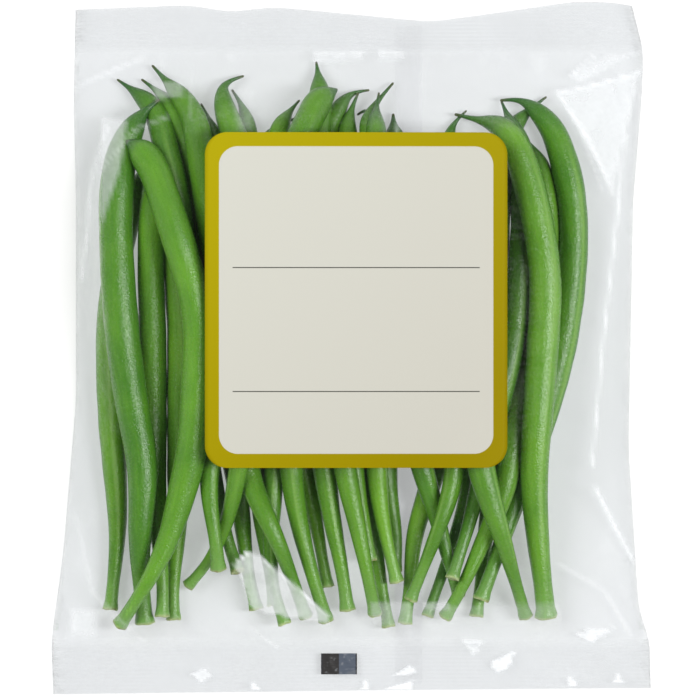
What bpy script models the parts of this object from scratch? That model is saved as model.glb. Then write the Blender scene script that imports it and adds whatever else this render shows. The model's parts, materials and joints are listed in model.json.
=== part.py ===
"""A clear flow-wrapped pack of fine green beans, lying on its back.

Thirty-one whole pods lie side by side, in about three layers, inside one tube of clear film. The tube is
crimped shut in a band at each end, has a fin seam down its back, and carries a blank paper label on its front.

+X runs across the pack, +Y towards the pods' beaks and +Z up. The origin is under the middle of the pack, on
the surface that it rests on. Dimensions are millimetres here, and become metres as the objects are made.
"""

import math

import bmesh
import bpy
import numpy as np

MM = 0.001

# Film pouch
FILM = 0.15  # wall thickness
SLOT = 0.6  # left open between the two films in each crimped band
BACK_SEAL_Y = -83.4  # where the crimped band starts at the cut ends of the pods
FRONT_SEAL_Y = 84.6  # where it starts at their beaks
SEAL_LIFT = 1.6  # height of the bands above the surface that the pack lies on
SEAL_WAVE = 0.9  # how far the bands ripple up and down
SIDE_FOLD_Z = 1.3
# Outlines of the pouch: (y, x) down each side, and (x, y) along each crimped edge
LEFT_SIDE = ((-99.4, -85.4), (-83.4, -86), (-58, -82.6), (-15, -79), (42, -79), (71, -79.7), (99.4, -79))
RIGHT_SIDE = ((-99.4, 86), (-83.4, 85.6), (-75, 82.6), (-29, 79.7), (42, 81), (71, 83.4), (85, 84), (99.4, 80.3))
TOP_EDGE = ((-80, 97), (-46, 98.4), (-35, 96.4), (-22, 97.8), (23, 93.6), (48, 97), (64, 99.4), (74, 99.4), (84, 97.6))
BOTTOM_EDGE = ((-86, -99.4), (-20, -98.6), (40, -98), (86, -97.6))
COLUMNS = 25  # film points across the front
BODY_ROWS = 25  # film points along the front, between the bands

# Fin seam under the back film
FIN_LEFT, FIN_RIGHT = 12.6, 20.4
FIN = 0.3  # thickness of the fin, and of the gap between it and the film above
FIN_RECESS = 2 * FIN

# Label
LABEL_X = (-41.4, 44.3)
LABEL_Y = (-34.0, 61.1)
LABEL_CORNER = 6.3
LABEL_THICK = 0.2
LABEL_GAP = 0.3

# Pods
POD_GAP = 0.45  # least clearance between two pods, and between a pod and the film
POD_RINGS = 13
FINE_STEPS = 4  # test points for clearance on each stretch between two rings
FLOOR = FIN_RECESS + FILM + POD_GAP
# Laying a pod: how often it is lowered, by how much, and the passes that lift it off what it rests on
LAY_TURNS, LAY_DROP, LAY_PASSES = 90, 0.35, 12
# Pressing the heap: its turns, the last ones with no pressure, the drop in each, and the height aimed at
PRESS_TURNS, FREE_TURNS, PRESS_DROP, PRESS_Z = 300, 100, 0.04, 24.0
# Half width along a pod, as a share of its greatest: thin beak, shoulder, full middle, taper, flare at the cut
GIRTH = (
    (0, 0.14), (0.035, 0.2), (0.07, 0.34), (0.12, 0.74), (0.2, 0.94), (0.45, 1.0),
    (0.65, 0.95), (0.82, 0.76), (0.93, 0.57), (0.97, 0.54), (1.0, 0.6),
)
# Each pod from the bottom of the heap to the top: its greatest width, and its route seen from above, from the
# tip of its beak to its cut end.
PODS = (
    (7.7, ((-57, 56), (-61, 47), (-66, 29), (-69, 8), (-69, -15), (-67, -48), (-68, -65), (-69, -75))),
    (7.4, ((-49, 57), (-53, 47), (-52, 31), (-49, 11), (-49, -12), (-51, -35), (-52, -56), (-51, -78))),
    (7.4, ((-60, 77), (-55, 73), (-50, 66), (-45, 52), (-41, 28), (-32, -21), (-31, -43), (-30, -61), (-27, -75))),
    (6.9, ((-38, 62), (-41, 61), (-42, 54), (-40, 38), (-35, 14), (-30, -12), (-26, -38), (-22, -74))),
    (6.9, ((-16, 66), (-23, 61), (-25, 51), (-25, 25), (-24, -26), (-24, -52), (-22, -69), (-19, -79))),
    (6.9, ((-15, 71), (-21, 62), (-21, 48), (-18, 22), (-15, -3), (-13, -29), (-9, -52), (-7, -69))),
    (7.1, ((-3, 57), (-5, 45), (-7, 25), (-9, 2), (-9, -21), (-7, -41), (-5, -55))),
    (6.9, ((5, 74), (1, 74), (-7, 62), (-8, 45), (-6, 19), (-1, -6), (3, -29), (6, -52), (11, -80))),
    (7.1, ((2, 67), (3, 70), (5, 65), (7, 51), (8, 25), (8, -1), (11, -41), (14, -56), (15, -65))),
    (7.4, ((12, 76), (5, 66), (7, 54), (12, 31), (23, -15), (24, -33), (20, -46), (16, -59), (15, -79))),
    (7.1, ((23, 58), (24, 45), (23, 22), (20, -1), (18, -23), (23, -43), (28, -61), (31, -71))),
    (7.1, ((56, 72), (48, 65), (44, 55), (43, 34), (41, -12), (41, -32), (39, -55), (36, -77))),
    (7.1, ((43, 71), (47, 59), (48, 45), (45, 8), (42, -12), (38, -32), (33, -52), (29, -66))),
    (6.9, ((-17, 54), (-15, 37), (-9, 14), (-3, -9), (2, -29), (4, -46), (6, -61))),
    (7.4, ((-55, 63), (-55, 57), (-56, 42), (-57, 22), (-56, -21), (-55, -43), (-54, -77))),
    (7.4, ((-67, 77), (-58, 70), (-54, 62), (-45, 29), (-42, 8), (-41, -15), (-39, -36), (-36, -51), (-32, -64))),
    (7.4, ((-10, 82), (-9, 72), (-10, 61), (-11, 39), (-9, 14), (-6, -12), (-2, -35), (3, -56), (7, -76))),
    (7.4, ((-34, 74), (-31, 69), (-29, 60), (-27, 42), (-27, 17), (-30, -6), (-30, -23), (-28, -39), (-22, -53),
           (-13, -77))),
    (8.3, ((43, 71), (46, 72), (56, 65), (61, 52), (63, 35), (62, 17), (59, -3), (53, -23), (37, -72))),
    (7.1, ((49, 61), (52, 58), (56, 47), (57, 31), (55, 11), (51, -9), (44, -42), (37, -57), (27, -77))),
    (6.9, ((8, 73), (7, 63), (9, 49), (16, 28), (23, 7), (28, -15), (30, -33), (26, -49), (17, -72))),
    (6.3, ((-43, 70), (-39, 61), (-35, 45), (-28, 2), (-29, -18), (-32, -35), (-36, -50), (-41, -61), (-47, -68))),
    (6.3, ((33, 68), (30, 65), (28, 58), (29, 38), (33, 17), (37, -6), (37, -26), (33, -46), (22, -77))),
    (8.0, ((-31, 78), (-35, 77), (-37, 72), (-35, 65), (-31, 51), (-25, 29), (-21, 5), (-19, -18), (-17, -42),
           (-7, -78))),
    (8.0, ((-4, 74), (-8, 72), (-14, 59), (-16, 45), (-15, 22), (-12, -1), (-6, -45), (-3, -61), (-1, -75))),
    (7.4, ((2, 73), (-1, 63), (0, 45), (1, 22), (3, -1), (5, -23), (7, -43), (13, -67))),
    (9.4, ((-55, 71), (-61, 65), (-66, 53), (-67, 31), (-65, 2), (-62, -18), (-59, -38), (-59, -79))),
    (8.0, ((-57, 81), (-47, 69), (-44, 58), (-42, 41), (-39, -6), (-41, -26), (-41, -39), (-39, -51), (-38, -63))),
    (8.6, ((12, 67), (13, 55), (19, 34), (31, -15), (37, -37), (43, -55), (50, -77))),
    (9.1, ((30, 67), (43, 63), (48, 55), (52, 41), (55, 24), (55, 7), (52, -32), (53, -51), (56, -77))),
    (8.9, ((-64, 59), (-61, 57), (-55, 48), (-44, 15), (-42, -3), (-43, -22), (-48, -42), (-55, -61), (-66, -79))),
)
# Base colours of the pods, taken in turn
GREENS = ((0.10, 0.27, 0.03), (0.06, 0.19, 0.03), (0.13, 0.31, 0.05), (0.04, 0.14, 0.03))


def clear_scene():
    for obj in list(bpy.data.objects):
        bpy.data.objects.remove(obj, do_unlink=True)


def material(name, color, roughness, alpha=1.0):
    made = bpy.data.materials.new(name)
    made.use_nodes = True
    shader = made.node_tree.nodes["Principled BSDF"]
    shader.inputs["Base Color"].default_value = (*color, 1.0)
    shader.inputs["Roughness"].default_value = roughness
    shader.inputs["Alpha"].default_value = alpha
    made.diffuse_color = (*color, alpha)
    return made


# ---------------------------------------------------------------------------------------------------- pods


def smooth_route(route, steps=12):
    """Points along a Catmull-Rom curve through a route's points."""
    points = np.array(route, float)
    points = np.vstack([2 * points[0] - points[1], points, 2 * points[-1] - points[-2]])
    t = np.linspace(0, 1, steps, endpoint=False)[:, None]
    curve = []
    for a, b, c, d in zip(points[:-3], points[1:-2], points[2:-1], points[3:]):
        bend = (2 * a - 5 * b + 4 * c - d) * t * t + (3 * b - a - 3 * c + d) * t**3
        curve.append(0.5 * (2 * b + (c - a) * t + bend))
    curve.append(points[-2:-1])
    return np.vstack(curve)


def ring_shares():
    """Where a pod's rings lie along it, from 0 to 1, closer together at the beak and at the cut."""
    beak = np.linspace(0, 0.16, 5)
    body = np.linspace(0.16, 0.94, POD_RINGS - 5)
    return np.concatenate([beak, body[1:], [1.0]])


def pod_plan(width, route):
    """(x, y, radius) at each ring of a pod."""
    curve = smooth_route(route)
    along = np.concatenate([[0], np.cumsum(np.hypot(*np.diff(curve, axis=0).T))])
    share = ring_shares()
    x, y = (np.interp(share * along[-1], along, curve[:, axis]) for axis in (0, 1))
    radius = 0.5 * width * np.interp(share, *zip(*GIRTH))
    return np.column_stack([x, y, radius])


def between_rings(rings):
    """The rings' rows and those at the test points between them."""
    at = np.linspace(0, len(rings) - 1, (len(rings) - 1) * FINE_STEPS + 1)
    return np.column_stack([np.interp(at, range(len(rings)), column) for column in rings.T])


def lowest_heights(plan, laid):
    """The least height of each test point of a pod that clears the floor and the pods laid before it."""
    fine = between_rings(plan)
    least = FLOOR + fine[:, 2]
    for x, y, radius, z in laid:
        apart = np.hypot(fine[:, 0, None] - x, fine[:, 1, None] - y)
        reach = fine[:, 2, None] + radius + POD_GAP
        over = z + np.sqrt(np.maximum(reach**2 - apart**2, 0))
        least = np.maximum(least, np.where(apart < reach, over, 0).max(axis=1))
    return least


def rest_on(least):
    """Ring heights of a limber rod that rests on the heights in least, given at its test points."""
    share = np.linspace(0, POD_RINGS - 1, len(least))
    low = np.minimum(share.astype(int), POD_RINGS - 2)
    part = share - low
    height = np.full(POD_RINGS, least.max())
    for turn in range(LAY_TURNS):
        padded = np.concatenate([[2 * height[0] - height[1]], height, [2 * height[-1] - height[-2]]])
        height = 0.3 * padded[:-2] + 0.4 * height + 0.3 * padded[2:] - LAY_DROP * (turn < 0.8 * LAY_TURNS)
        for _ in range(LAY_PASSES):
            for i, j, t, floor in zip(range(len(least)), low, part, least):
                missing = floor - (1 - t) * height[j] - t * height[j + 1]
                if missing > 0:
                    push = missing / ((1 - t) ** 2 + t**2)
                    height[j] += (1 - t) * push
                    height[j + 1] += t * push
    return height


def lay_pods():
    """(pod, ring, (x, y, radius, z)) with each pod laid along its route on those before it."""
    pods, fine = [], []
    for width, route in PODS:
        plan = pod_plan(width, route)
        rings = np.column_stack([plan, rest_on(lowest_heights(plan, fine))])
        pods.append(rings)
        fine.append(between_rings(rings).T)
    return np.array(pods)


def under_label(x, y):
    """1 where the label hides a pod, falling to 0 at its edges."""
    inside = np.minimum(LABEL_Y[1] - y, y - LABEL_Y[0]) - 2
    across = np.minimum(LABEL_X[1] - x, x - LABEL_X[0]) > -4
    return np.clip(inside / 14, 0, 1) * across


def push_apart(centre, radius, blend):
    """How far each ring moves so that no two pods are closer than POD_GAP at their test points."""
    pods, steps = len(centre), len(blend)
    fine = np.einsum("fr,prk->pfk", blend, centre).reshape(-1, 3)
    wide = (radius @ blend.T).ravel()
    square = (fine**2).sum(axis=1)
    apart = (square[:, None] + square - 2 * fine @ fine.T).reshape(-1, pods, steps)
    nearest = apart.argmin(axis=2)
    apart = np.take_along_axis(apart, nearest[..., None], axis=2)[..., 0]
    apart = np.sqrt(np.maximum(apart, 1e-9))
    other = nearest + np.arange(pods) * steps
    short = np.maximum(wide[:, None] + wide[other] + POD_GAP - apart, 0)
    short.reshape(pods, steps, pods)[np.arange(pods), :, np.arange(pods)] = 0
    away = (fine[:, None] - fine[other]) / apart[..., None]
    push = (away * short[..., None] / 2).sum(axis=1).reshape(pods, steps, 3)
    return np.einsum("fr,pfk->prk", blend, push) / blend.sum(axis=0)[None, :, None]


def press_heap(laid):
    """The laid pods pressed into a low heap, sliding apart sideways only where the label hides them."""
    centre, radius = laid[..., [0, 1, 3]], laid[..., 2]
    route = centre[..., :2].copy()
    hidden = under_label(*np.moveaxis(route, 2, 0))[..., None]
    blend = between_rings(np.eye(POD_RINGS))
    for turn in range(PRESS_TURNS):
        if turn < PRESS_TURNS - FREE_TURNS:
            high = np.maximum(centre[..., 2] + radius - PRESS_Z, 0)
            centre[..., 2] -= PRESS_DROP + 0.02 * high
        move = 1.2 * push_apart(centre, radius, blend)
        move[..., :2] *= 0.25 + 0.75 * hidden
        centre += move
        if turn < PRESS_TURNS - FREE_TURNS:
            drift = centre[..., :2] - route
            padded = np.pad(drift, ((0, 0), (1, 1), (0, 0)), mode="edge")
            drift = 0.25 * padded[:, :-2] + 0.5 * drift + 0.25 * padded[:, 2:]
            centre[..., :2] = route + drift * (0.8 + 0.2 * hidden)
            z = centre[..., 2]
            padded = np.pad(z, ((0, 0), (1, 1)), mode="reflect", reflect_type="odd")
            centre[..., 2] = 0.15 * padded[:, :-2] + 0.7 * z + 0.15 * padded[:, 2:]
        centre[..., 2] = np.maximum(centre[..., 2], FLOOR + radius)
    return np.concatenate([centre[..., :2], radius[..., None], centre[..., 2:]], axis=2)


def make_pod(name, rings, color, collection):
    """A pod: a tapering tube on a curve through its rings, closed at the beak and at the cut."""
    curve = bpy.data.curves.new(name, "CURVE")
    curve.dimensions = "3D"
    curve.bevel_depth = MM
    curve.bevel_resolution = 2
    curve.use_fill_caps = True
    spline = curve.splines.new("POLY")
    spline.points.add(len(rings) - 1)
    for point, (x, y, radius, z) in zip(spline.points, rings):
        point.co = (x * MM, y * MM, z * MM, 1.0)
        point.radius = radius
    pod = bpy.data.objects.new(name, curve)
    curve.materials.append(material(name, color, 0.4))
    collection.objects.link(pod)


# ---------------------------------------------------------------------------------------------------- film


def seal_height(x, y):
    """Height of the underside of a crimped band, which ripples along its length."""
    return SEAL_LIFT + SEAL_WAVE * math.sin(x / 13 + y / 40) * math.cos(x / 31)


def film_rows():
    """The y of each row of the film at the middle of the pack, with the two rows of each crimped band."""
    body = np.linspace(BACK_SEAL_Y + 2.4, FRONT_SEAL_Y - 2.4, BODY_ROWS)
    return np.concatenate([[-99.4, BACK_SEAL_Y], body, [FRONT_SEAL_Y, 99.4]])


def in_seal(row, rows):
    return row < 2 or row >= rows - 2


def film_grid():
    """x and y of each film point on the front, as two arrays of (row, column)."""
    rows = film_rows()
    share = np.linspace(0, 1, COLUMNS)
    left = np.interp(rows, *zip(*LEFT_SIDE))[:, None]
    right = np.interp(rows, *zip(*RIGHT_SIDE))[:, None]
    x = left + (right - left) * share
    y = np.repeat(rows[:, None], COLUMNS, axis=1)
    y[0] = np.interp(x[0], *zip(*BOTTOM_EDGE))
    y[-1] = np.interp(x[-1], *zip(*TOP_EDGE))
    return x, y


def label_arch(heap):
    """(x, z) of the film under the label: the tightest arch across the pack that clears the pods there."""
    knots = np.arange(LABEL_X[0] - 6, LABEL_X[1] + 6.1, 3)
    crown = np.zeros(len(knots))
    for rings in heap:
        x, y, radius, z = between_rings(rings).T
        inside = (y > LABEL_Y[0] - 4) & (y < LABEL_Y[1] + 4)
        for px, top, half in zip(x[inside], (z + radius)[inside], radius[inside]):
            near = abs(knots - px) < half + 3
            crown[near] = np.maximum(crown[near], top)
    arch = crown + POD_GAP + FILM
    for _ in range(4):
        for i in range(len(knots)):
            for j in range(i + 2, len(knots)):
                chord = np.interp(knots[i:j], knots[[i, j]], arch[[i, j]])
                arch[i:j] = np.maximum(arch[i:j], chord)
    rounded = arch.copy()
    for _ in range(6):
        padded = np.pad(rounded, 1, mode="edge")
        rounded = (padded[:-2] + rounded + padded[2:]) / 3
    return knots, rounded + max(0.0, (arch - rounded).max())


def film_front(x, y, heap):
    """Height of the front film: a taut skin over the pods, arched under the label and low at its edges."""
    rows, columns = x.shape
    least = np.full(x.shape, SIDE_FOLD_Z)
    reach_x = (x[0, 1] - x[0, 0]) * 0.95
    reach_y = np.gradient(y[:, 0])
    for rings in heap:
        for px, py, radius, z in between_rings(rings):
            near = (abs(x - px) < radius * 0.6 + reach_x) & (abs(y - py) < radius * 0.4 + reach_y[:, None])
            least[near] = np.maximum(least[near], z + radius + POD_GAP + FILM)
    knots, arch = label_arch(heap)
    on_label = (x > LABEL_X[0] - 6) & (x < LABEL_X[1] + 6) & (y > LABEL_Y[0] - 4) & (y < LABEL_Y[1] + 4)
    least[on_label] = np.interp(x, knots, arch)[on_label]
    fixed = np.zeros(x.shape, bool)
    fixed[:, [0, -1]] = fixed[:2] = fixed[-2:] = True
    for row in (0, 1, rows - 2, rows - 1):
        for column in range(columns):
            least[row, column] = seal_height(x[row, column], y[row, column]) + SLOT + 2 * FILM
    least[2:-2, [0, -1]] = SIDE_FOLD_Z
    height = least.copy()
    for _ in range(60):
        padded = np.pad(height, 1, mode="edge")
        mean = (padded[:-2, 1:-1] + padded[2:, 1:-1] + padded[1:-1, :-2] + padded[1:-1, 2:]) / 4
        height = np.where(fixed | on_label, height, np.maximum(least, mean))
    return height


def back_columns(left, right):
    """(x, recess) of the film points across the back, from the right side to the left."""
    return (
        (right - 2.5, 0.0),
        (44.0, 0.0),
        (FIN_RIGHT + 1.4, 0.0),
        (FIN_RIGHT + 0.7, FIN_RECESS),
        (FIN_LEFT - 0.7, FIN_RECESS),
        (FIN_LEFT - 1.4, 0.0),
        (-30.0, 0.0),
        (left + 2.5, 0.0),
    )


def back_height(x, y, recess, row, rows):
    return seal_height(x, y) + recess if in_seal(row, rows) else recess


def make_film(heap, collection):
    """The pouch: one tube of film, thickened inwards, with its two ends left as narrow slots."""
    x, y = film_grid()
    front = film_front(x, y, heap)
    mesh = bmesh.new()
    loops = []
    for row in range(len(x)):
        points = list(zip(x[row], y[row], front[row]))
        for px, recess in back_columns(x[row, 0], x[row, -1]):
            py = float(np.interp(px, x[row], y[row]))
            points.append((px, py, back_height(px, py, recess, row, len(x))))
        loops.append([mesh.verts.new([c * MM for c in point]) for point in points])
    for near, far in zip(loops, loops[1:]):
        for i in range(len(near)):
            j = (i + 1) % len(near)
            mesh.faces.new((near[i], near[j], far[j], far[i]))
    bmesh.ops.recalc_face_normals(mesh, faces=mesh.faces)
    data = bpy.data.meshes.new("bag_film")
    mesh.to_mesh(data)
    mesh.free()
    data.shade_smooth()
    film = bpy.data.objects.new("bag_film", data)
    data.materials.append(material("bag_film", (0.85, 0.88, 0.9), 0.1, alpha=0.25))
    collection.objects.link(film)
    wall = film.modifiers.new("wall", "SOLIDIFY")
    wall.thickness = FILM * MM
    wall.offset = -1
    return label_arch(heap)


def make_fin(collection):
    """The fin seam: a flat strip pressed to the back film, from crimped edge to crimped edge."""
    rows = film_rows()
    rows[0], rows[-1] = rows[0] + 3, rows[-1] - 7
    mesh = bmesh.new()
    bmesh.ops.create_grid(mesh, x_segments=1, y_segments=len(rows) - 1, size=0.5)
    mesh.verts.ensure_lookup_table()
    for vert in mesh.verts:
        row = round((vert.co.y + 0.5) * (len(rows) - 1))
        side = FIN_RIGHT if vert.co.x > 0 else FIN_LEFT
        z = back_height((FIN_LEFT + FIN_RIGHT) / 2, rows[row], FIN_RECESS, row, len(rows)) - FIN_RECESS
        vert.co = (side * MM, rows[row] * MM, z * MM)
    data = bpy.data.meshes.new("back_seam")
    mesh.to_mesh(data)
    mesh.free()
    fin = bpy.data.objects.new("back_seam", data)
    data.materials.append(material("back_seam", (0.8, 0.84, 0.87), 0.15, alpha=0.4))
    collection.objects.link(fin)
    wall = fin.modifiers.new("wall", "SOLIDIFY")
    wall.thickness = FIN * MM
    wall.offset = 1


# --------------------------------------------------------------------------------------------------- label


def make_label(arch, collection):
    """The label: a rounded rectangle of paper, curved across the pack to lie on the film."""
    corner = [LABEL_CORNER * (1 - math.cos(math.radians(a))) for a in (0, 30, 60, 90)]
    inset = [LABEL_CORNER * (1 - math.sin(math.radians(a))) for a in (0, 30, 60, 90)]
    bottom = [(LABEL_Y[0] + up, side) for up, side in zip(corner, inset)]
    top = [(LABEL_Y[1] - up, side) for up, side in zip(reversed(corner), reversed(inset))]
    middle = [(y, 0.0) for y in np.linspace(bottom[-1][0], top[0][0], 8)[1:-1]]
    rows = bottom + middle + top
    half = (LABEL_X[1] - LABEL_X[0]) / 2
    centre = (LABEL_X[1] + LABEL_X[0]) / 2
    mesh = bmesh.new()
    bmesh.ops.create_grid(mesh, x_segments=24, y_segments=len(rows) - 1, size=0.5)
    for vert in mesh.verts:
        y, side = rows[round((vert.co.y + 0.5) * (len(rows) - 1))]
        x = centre + 2 * vert.co.x * (half - side)
        z = np.interp(x, *arch) + LABEL_GAP
        vert.co = (x * MM, y * MM, z * MM)
    data = bpy.data.meshes.new("label")
    mesh.to_mesh(data)
    mesh.free()
    data.shade_smooth()
    label = bpy.data.objects.new("label", data)
    data.materials.append(material("label", (0.74, 0.72, 0.63), 0.45))
    collection.objects.link(label)
    wall = label.modifiers.new("wall", "SOLIDIFY")
    wall.thickness = LABEL_THICK * MM
    wall.offset = 1


def main():
    clear_scene()
    collection = bpy.data.collections.new("green_bean_bundle")
    bpy.context.scene.collection.children.link(collection)
    heap = press_heap(lay_pods())
    for number, rings in enumerate(heap, start=1):
        make_pod(f"pod_{number:02d}", rings, GREENS[number % len(GREENS)], collection)
    arch = make_film(heap, collection)
    make_fin(collection)
    make_label(arch, collection)


main()
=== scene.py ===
import json
import math

import bpy
import numpy as np
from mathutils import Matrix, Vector, noise
from mathutils.bvhtree import BVHTree


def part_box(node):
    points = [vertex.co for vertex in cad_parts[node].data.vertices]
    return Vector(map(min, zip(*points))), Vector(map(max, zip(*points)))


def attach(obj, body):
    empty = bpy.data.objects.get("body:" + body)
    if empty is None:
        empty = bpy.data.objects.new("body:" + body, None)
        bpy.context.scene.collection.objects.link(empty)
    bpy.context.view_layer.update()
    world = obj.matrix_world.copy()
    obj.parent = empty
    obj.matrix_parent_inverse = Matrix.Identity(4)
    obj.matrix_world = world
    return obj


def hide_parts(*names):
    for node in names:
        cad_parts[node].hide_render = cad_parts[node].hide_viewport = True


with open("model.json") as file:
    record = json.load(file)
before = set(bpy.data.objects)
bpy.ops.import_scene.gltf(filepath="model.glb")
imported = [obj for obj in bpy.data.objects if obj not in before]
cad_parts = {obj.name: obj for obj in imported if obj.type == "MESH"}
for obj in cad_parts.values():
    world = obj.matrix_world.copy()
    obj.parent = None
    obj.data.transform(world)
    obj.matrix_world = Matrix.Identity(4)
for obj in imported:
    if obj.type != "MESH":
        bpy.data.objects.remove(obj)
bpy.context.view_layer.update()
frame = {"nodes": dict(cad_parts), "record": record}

# The looks of a pack of fine green beans: every pod, the clear film round them, its fin seam and its label.
# Lengths are metres, and MM turns millimetres into them. Colours are linear.

MM = 0.001
NODES = frame["nodes"]
POD_NODES = sorted(name for name in NODES if name.startswith("pod_"))
SLOTS = {part["node"]: part["material_slot"] for part in frame["record"]["subparts"]}
SEED = 7

# Pods
CAD_SIDES = 8  # points round each ring of a pod in the frame
POD_SIDES = 36
POD_STEPS = 120  # rings along a pod
PLUMP = 1.04  # girth against the plain pod of the frame
# Girth near the beak: (distance from its tip in millimetres, share of the pod's greatest radius)
SHOULDER = ((0, 0.09), (3, 0.14), (5, 0.21), (7, 0.4), (9.5, 0.64), (13, 0.8), (19, 0.92), (27, 1.0))
SHOULDER_SHARE = 0.25  # share of the pod's length whose girth follows SHOULDER
BLUNT_BEAK = 0.5  # a pod whose beak is shorter than this, against the usual one, ends in a round tip
BLUNT_GIRTH = 0.35
BEAK_LENGTH = 14 * MM  # how far down from its tip a pod is darker
BEAKS = {  # length of the beak against the usual one
    "pod_06": 0.8, "pod_10": 1.5, "pod_12": 1.1, "pod_16": 0.9, "pod_17": 0.7, "pod_19": 1.2, "pod_24": 1.1,
    "pod_25": 0.3, "pod_28": 1.1, "pod_29": 0.6, "pod_30": 1.4, "pod_31": 0.3,
}
SUTURES = {  # where the suture lies round these pods, in radians; round the others it is random
    "pod_01": 1.3, "pod_08": 1.2, "pod_13": 1.8, "pod_16": 1.7, "pod_19": 2.05, "pod_24": 1.9,
}
SUTURE_TWIST = 0.9  # greatest turn of the suture along a pod, in radians
STEM_TAPER = 0.8  # girth near the cut end, against the rest of the pod
STEM_TAPERS = {"pod_27": 0.85, "pod_29": 0.68, "pod_30": 1.0, "pod_31": 0.7}
STEM_FLARE = 0.16
STEM_FLARE_LENGTH = 3.0 * MM
CUT_RIM = 0.9 * MM
CUT_RINGS = ((0.86, 0.12), (0.5, -0.05))  # (size against the rim, height above it in millimetres)
CUT_WOBBLE = 0.1 * MM
CUT_SINK = 0.05 * MM
RAGGED = 0.05  # unevenness of the cut's rim
BEAK_POINT = 0.35 * MM  # how far the beak's point stands beyond its last ring
SEED_PITCH = 12.0 * MM
SEED_SWELL = 0.022
OVAL = 0.035
GROOVE = 0.018  # depth of the suture
LUMPS = 0.022
LUMP_LENGTH = 7 * MM
GRAIN = 0.12  # how far the skin's grain is drawn out along the pod: smaller is longer

# Bean skin: the lighter and the deeper of the two greens that mottle it, for each slot
GREENS = {
    "bean_light": ((0.181, 0.419, 0.025), (0.086, 0.251, 0.014)),
    "bean_mid": ((0.15, 0.372, 0.021), (0.0645, 0.205, 0.013)),
    "bean_dark": ((0.142, 0.353, 0.021), (0.0559, 0.186, 0.011)),
    "bean_deep": ((0.146, 0.372, 0.021), (0.0602, 0.205, 0.013)),
}
RIM_SHADE_GREEN = (0.035, 0.13, 0.022)  # painted shade where the skin turns away from the eye
SUTURE_GREEN = (0.26, 0.48, 0.1)
FLECK_GREEN = (0.28, 0.5, 0.14)
BEAK_GREEN = (0.022, 0.09, 0.03)
TIP_BROWN = (0.11, 0.09, 0.03)
STEM_GREEN = (0.24, 0.45, 0.12)
FLESH_DARK = (0.36, 0.46, 0.17)
FLESH_LIGHT = (0.6, 0.66, 0.34)
FLESH_SPOT = (0.3, 0.2, 0.09)

# The pouch's outline in millimetres: (y, x) down its sides and (x, y) along its two cut ends
LEFT_SIDE = ((-99.4, -85.4), (-83.4, -86), (-58, -82.6), (-15, -79), (42, -79), (71, -79.7), (99.4, -79))
RIGHT_SIDE = (
    (-99.4, 86), (-83.4, 85.6), (-75, 82.6), (-29, 79.7), (42, 81), (71, 83.4), (85, 84), (99.4, 80.3),
)
TOP_EDGE = (
    (-80, 97), (-46, 98.4), (-35, 96.4), (-22, 97.8), (23, 93.6),
    (48, 97), (64, 99.4), (74, 99.4), (84, 97.6),
)
BOTTOM_EDGE = ((-86, -99.4), (-20, -98.6), (40, -98), (86, -97.6))
LOW_SEAL = -83.4 * MM  # the crimped bands run from here and from HIGH_SEAL to the cut ends
HIGH_SEAL = 84.6 * MM
SIDE_FOLD = 1.2 * MM  # height of the film's fold down each side

# Film
CELL = 1.25 * MM  # grid on which the film is drawn tight over the pods
GRID_REACH = 88 * MM  # half width of that grid
TIGHTENING = 500  # rounds in which the film is drawn tight
FILM_CLEAR = 0.25 * MM  # between the film and a pod
CROWN_ROOM = 1.04  # a pod's girth for the film, against its radius, since it is oval and swollen
FRONT_COLUMNS = 150
BACK_COLUMNS = 30
BODY_ROWS = 150
BAND_ROWS = 56
BAND_THICK = 0.16 * MM
BAND_LIFT = 2.05 * MM  # mean height of a crimped band, and how far it ripples up and down
BAND_RIPPLE = 0.9 * MM
RIB_PITCH = 1.1 * MM
RIB_HEIGHT = 0.1 * MM
BACK_LIFT = 0.12 * MM
LEAST_HEIGHT = 0.05 * MM
CREASE_GLINT = 0.6  # painted glint along a crease, for each millimetre of its height
RIB_SHEEN = 0.04  # greatest painted sheen on the crimp's ribs, halved
CREST_GLINT = 0.16  # painted glint on the sharpest wrinkles
CRIMP_SHADE = 0.97  # painted shade: light that the crimped film lets through, against the rest of it
FACE_ON_MIRROR = 0.001
MOST_MIRROR = 0.16
# Colour of the film's milkiness, and of the glints painted on it
MILK_AND_GLINT_COLOUR = (0.93, 0.95, 0.97)

# Label
BORDER = 4.0 * MM
LABEL_CORNER = 6.3 * MM
PANEL_CORNER = 5.4 * MM
LABEL_THICK = 0.12 * MM
FILM_UNDER_LABEL = 0.3 * MM  # from the label's top down to the film
RULE_HALF_LENGTH = 35 * MM
RULE_HALF_WIDTH = 0.12 * MM
RULES = (9.2 * MM, -25.9 * MM)  # from the middle of the label
PRINT_EDGE = 0.06 * MM  # softness of a printed edge
OLIVE = ((0.255, 0.195, 0.0004), (0.375, 0.315, 0.004))  # at the lower right and at the upper left; the lower right is darker with painted shade
CREAM = ((0.49, 0.477, 0.42), (0.55, 0.548, 0.49))
CREAM_FIBRE = (0.52, 0.51, 0.45)
RULE_INK = (0.03, 0.03, 0.025)

# Registration mark
MARK_X = (-8.6 * MM, 1.7 * MM)
MARK_Y = (-93.7 * MM, -87.7 * MM)
MARK_LIFT = 0.06 * MM
MARK_COLUMNS = 24
MARK_ROWS = 20

# Camera
CAMERA_HEIGHT = 1.7  # above the middle of the pack, where the view is VIEW_WIDTH wide
PACK_MIDDLE = (-0.3 * MM, -0.6 * MM, 10 * MM)
VIEW_WIDTH = 0.2
SENSOR = 36.0  # millimetres, as Blender counts it

# Floor
FLOOR_HALF = 3.0
FLOOR_DROP = 0.05 * MM
FLOOR_GLOW = 0.45  # the floor is a faint light table

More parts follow.
